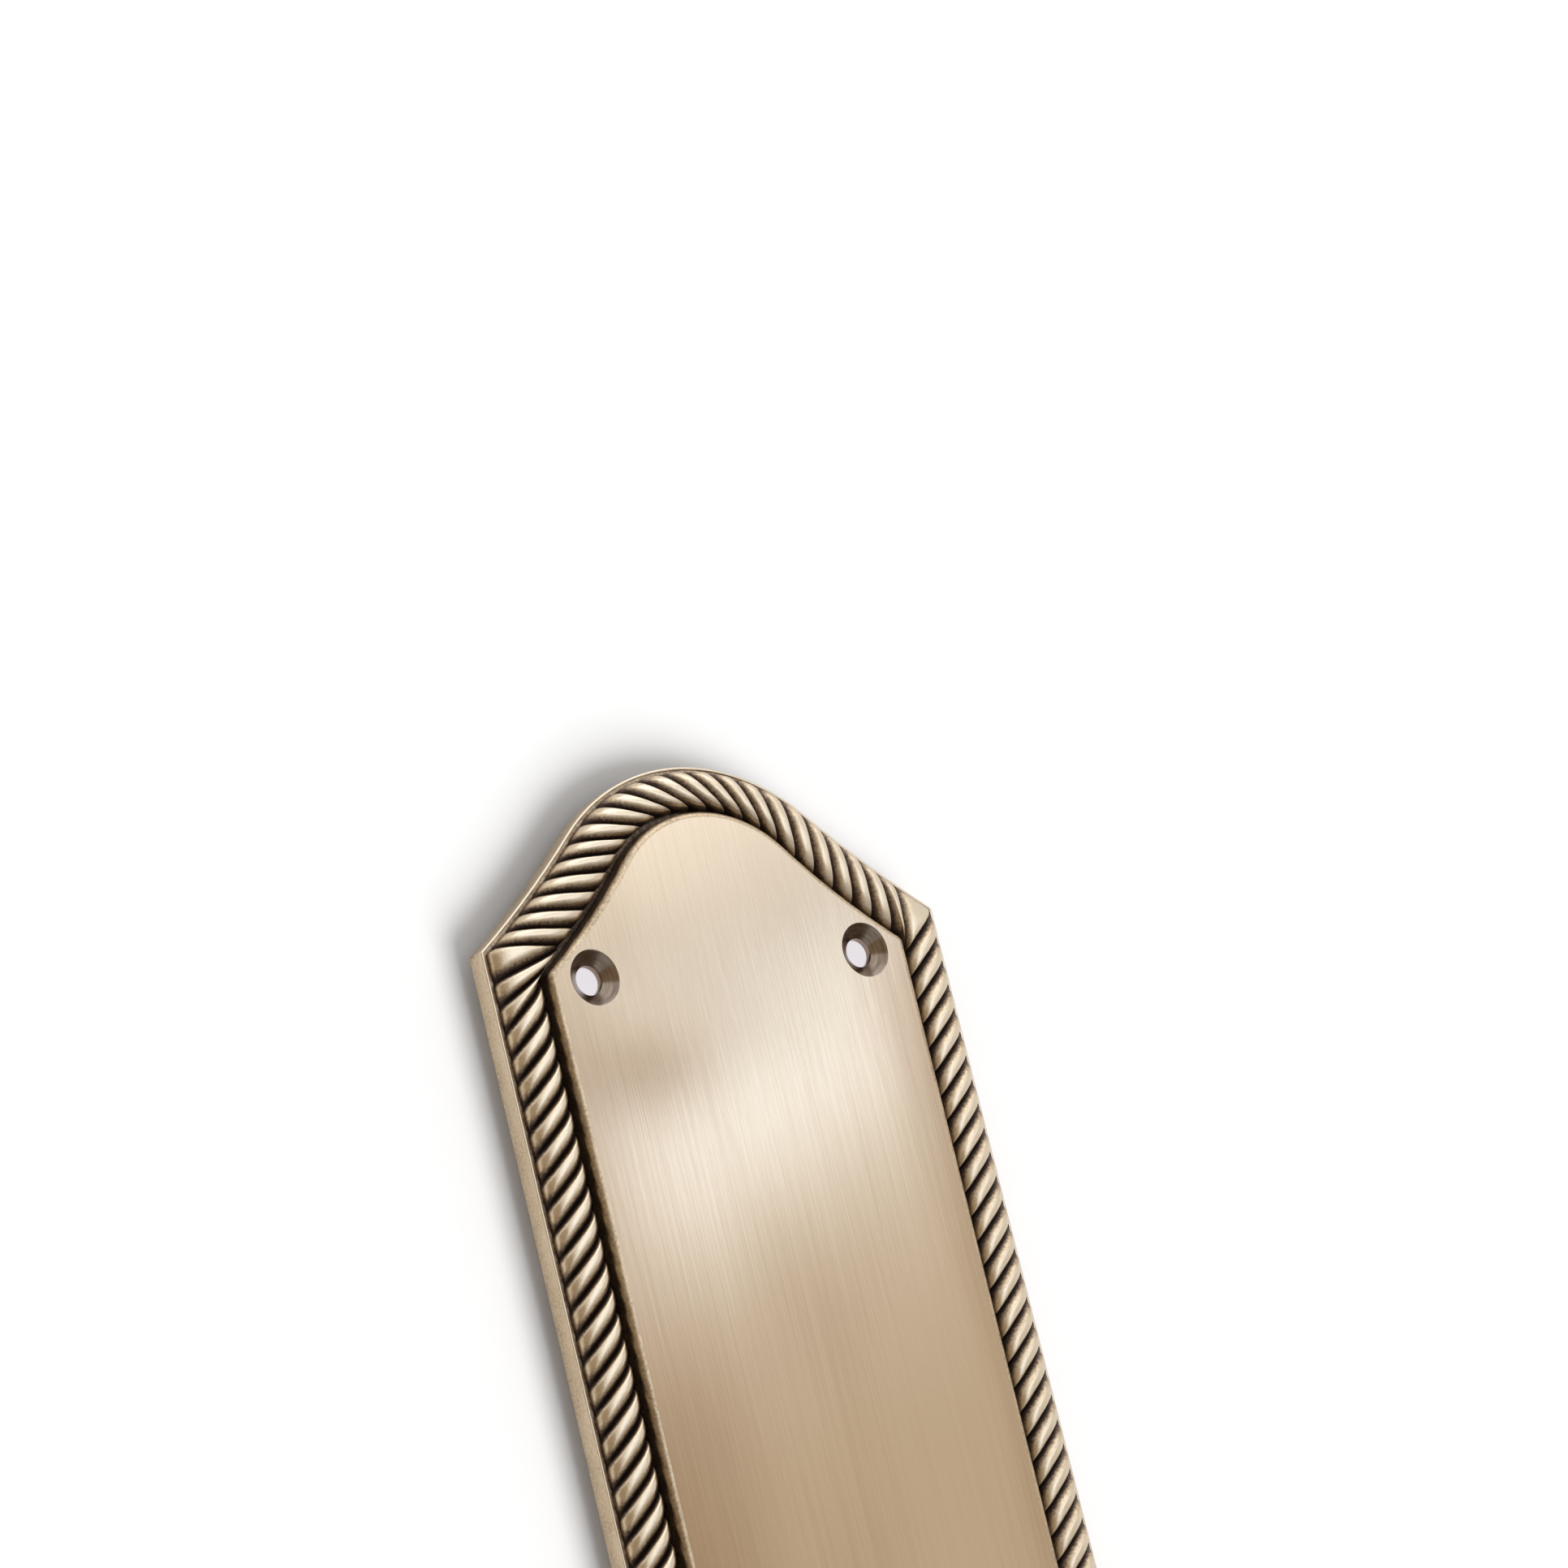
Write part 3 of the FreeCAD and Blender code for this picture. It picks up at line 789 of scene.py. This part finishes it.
# A pale card behind the plate that glows for camera and glossy rays: painted light that keeps the screw
# holes bright where the plate's shadow falls

HOLE_CARD_X = 0.030
HOLE_CARD_Z = 0.1185
HOLE_CARD_GAP = 0.0005
HOLE_CARD_Y = WALL_GAP - HOLE_CARD_GAP
HOLE_CARD_COLOUR = (0.9, 0.9, 0.92)
HOLE_CARD_GLOW = (0.66, 0.66, 0.71)
card_corners = upright((-HOLE_CARD_X, HOLE_CARD_Y), (HOLE_CARD_X, HOLE_CARD_Y), -HOLE_CARD_Z, HOLE_CARD_Z)
_, card_tree, card_shader = plane("hole_card", card_corners, HOLE_CARD_COLOUR, True)
# Painted light: the card's glow fills the plate's shadow seen through the holes
card_shader.inputs["Emission Color"].default_value = (*HOLE_CARD_GLOW, 1)
card_seen = seen_by(card_tree, "Is Camera Ray", "Is Glossy Ray")
card_tree.links.new(card_seen, card_shader.inputs["Emission Strength"])


# Flags and a graded card, seen only in the metal's reflections

BLACK = (0, 0, 0)
WHITE = (1, 1, 1)


def flag(name, corners, glow, strength=1.0):
    """A card with an even glow; returns its node tree and shader."""
    thing, tree, shader = plane(name, corners, BLACK, False)
    shader.inputs["Emission Color"].default_value = (*glow, 1)
    shader.inputs["Emission Strength"].default_value = strength
    thing.visible_camera = False
    thing.visible_diffuse = False
    thing.visible_shadow = False
    return tree, shader


def graded_card(name, corners, strength, slant, middle, stops):
    """A glowing card whose colour changes with height, slanted across its width."""
    tree, shader = flag(name, corners, WHITE, strength)
    place = tree.nodes.new("ShaderNodeSeparateXYZ")
    tree.links.new(object_place(tree), place.inputs[0])
    across = math_node(tree, "SUBTRACT", place.outputs["X"], middle)
    height = math_node(tree, "ADD", place.outputs["Z"], math_node(tree, "MULTIPLY", across, slant))
    tree.links.new(ramp(tree, height, stops), shader.inputs["Emission Color"])


FLAG_LEVEL = -0.2
LOW_FLAG_HALF_WIDTH = 1.0
LOW_FLAG_FRONT = -0.22
LOW_FLAG_BACK = -0.02
LOW_FLAG_GLOW = (0.14, 0.105, 0.07)
LEFT_FLAG_BACK = (-0.7, 0)
LEFT_FLAG_FRONT = (-0.35, -1)
LEFT_FLAG_TOP = 0.5
LEFT_FLAG_GLOW = (0.42, 0.33, 0.22)
FRONT_CARD_LEFT = (0, -1)
FRONT_CARD_RIGHT = (1.6, -1)
FRONT_CARD_TOP = 0.6
FRONT_CARD_STRENGTH = 2.5
FRONT_CARD_SLANT = -0.4
FRONT_CARD_MIDDLE = 0.75
FRONT_CARD_STOPS = (
    (0.17, (0.32, 0.30, 0.27)),
    (0.24, (0.44, 0.46, 0.48)),
    (0.29, (0.72, 0.85, 1.05)),
    (0.33, (0.37, 0.39, 0.425)),
    (0.41, (0.68, 0.74, 0.82)),
)
flag("low_flag", level(LOW_FLAG_HALF_WIDTH, LOW_FLAG_FRONT, LOW_FLAG_BACK, FLAG_LEVEL), LOW_FLAG_GLOW)
flag("left_flag", upright(LEFT_FLAG_BACK, LEFT_FLAG_FRONT, FLAG_LEVEL, LEFT_FLAG_TOP), LEFT_FLAG_GLOW)
front_corners = upright(FRONT_CARD_LEFT, FRONT_CARD_RIGHT, FLAG_LEVEL, FRONT_CARD_TOP)
graded_card(
    "front_card", front_corners, FRONT_CARD_STRENGTH, FRONT_CARD_SLANT, FRONT_CARD_MIDDLE, FRONT_CARD_STOPS
)

# A white world, dimmer as a light than as it is seen

AMBIENT = 0.5
world = bpy.data.worlds.new("studio")
bpy.context.scene.world = world
world.use_nodes = True
world_tree = world.node_tree
world_tree.nodes.clear()
background = world_tree.nodes.new("ShaderNodeBackground")
background.inputs["Color"].default_value = (*WHITE, 1)
world_seen = seen_by(world_tree, "Is Camera Ray", "Is Glossy Ray", "Is Transmission Ray")
world_level = ranged(world_tree, world_seen, (0, 1), (AMBIENT, 1.0))
world_tree.links.new(world_level, background.inputs["Strength"])
world_output = world_tree.nodes.new("ShaderNodeOutputWorld")
world_tree.links.new(background.outputs[0], world_output.inputs[0])


# Lamps: a wide sun for the wall and floor, and a soft box that only the metal shows

def aimed(thing, location, target):
    """Places a lamp and points it at a target."""
    thing.location = location
    thing.rotation_euler = (Vector(target) - Vector(location)).to_track_quat("-Z", "Y").to_euler()
    bpy.context.scene.collection.objects.link(thing)


SUN_PLACE = (0.15, -0.85, -0.72)
SUN_TARGET = (0, 0, 0)
SUN_ENERGY = 2.25
SUN_ANGLE = math.radians(40)
sun = bpy.data.lights.new("fill", "SUN")
sun.energy = SUN_ENERGY
sun.angle = SUN_ANGLE
sun_object = bpy.data.objects.new("fill", sun)
sun_object.visible_glossy = False
aimed(sun_object, SUN_PLACE, SUN_TARGET)

BOX_PLACE = (0.35, -0.55, 0.95)
BOX_TARGET = (0, 0, 0.1)
BOX_WIDTH = 0.9
BOX_HEIGHT = 0.6
BOX_RADIANCE = 1.3
BOX_COLOUR = (0.95, 1.0, 1.1)
top_box = bpy.data.lights.new("top_box", "AREA")
top_box.shape = "RECTANGLE"
top_box.size = BOX_WIDTH
top_box.size_y = BOX_HEIGHT
top_box.energy = math.pi * BOX_WIDTH * BOX_HEIGHT * BOX_RADIANCE
top_box.color = BOX_COLOUR
box_object = bpy.data.objects.new("top_box", top_box)
box_object.visible_diffuse = False
aimed(box_object, BOX_PLACE, BOX_TARGET)

# Camera at the photograph's viewing angle

CAMERA_PLACE = (-0.43328, -0.56898, -0.01578)
CAMERA_RIGHT = (0.79057, -0.56566, -0.23456)
CAMERA_UP = (0.06222, -0.30686, 0.94972)
CAMERA_BACKWARD = (-0.60920, -0.76542, -0.20740)
CAMERA_SENSOR = 36.0
CAMERA_LENS = 128.54
CAMERA_NEAR = 0.01
camera_data = bpy.data.cameras.new("camera")
camera_data.sensor_width = CAMERA_SENSOR
camera_data.lens = CAMERA_LENS
camera_data.clip_start = CAMERA_NEAR
camera = bpy.data.objects.new("camera", camera_data)
turn = Matrix((CAMERA_RIGHT, CAMERA_UP, CAMERA_BACKWARD)).transposed()
camera.matrix_world = Matrix.Translation(CAMERA_PLACE) @ turn.to_4x4()
bpy.context.scene.collection.objects.link(camera)
bpy.context.scene.camera = camera
bpy.context.scene.view_settings.view_transform = "Standard"

bpy.context.view_layer.update()
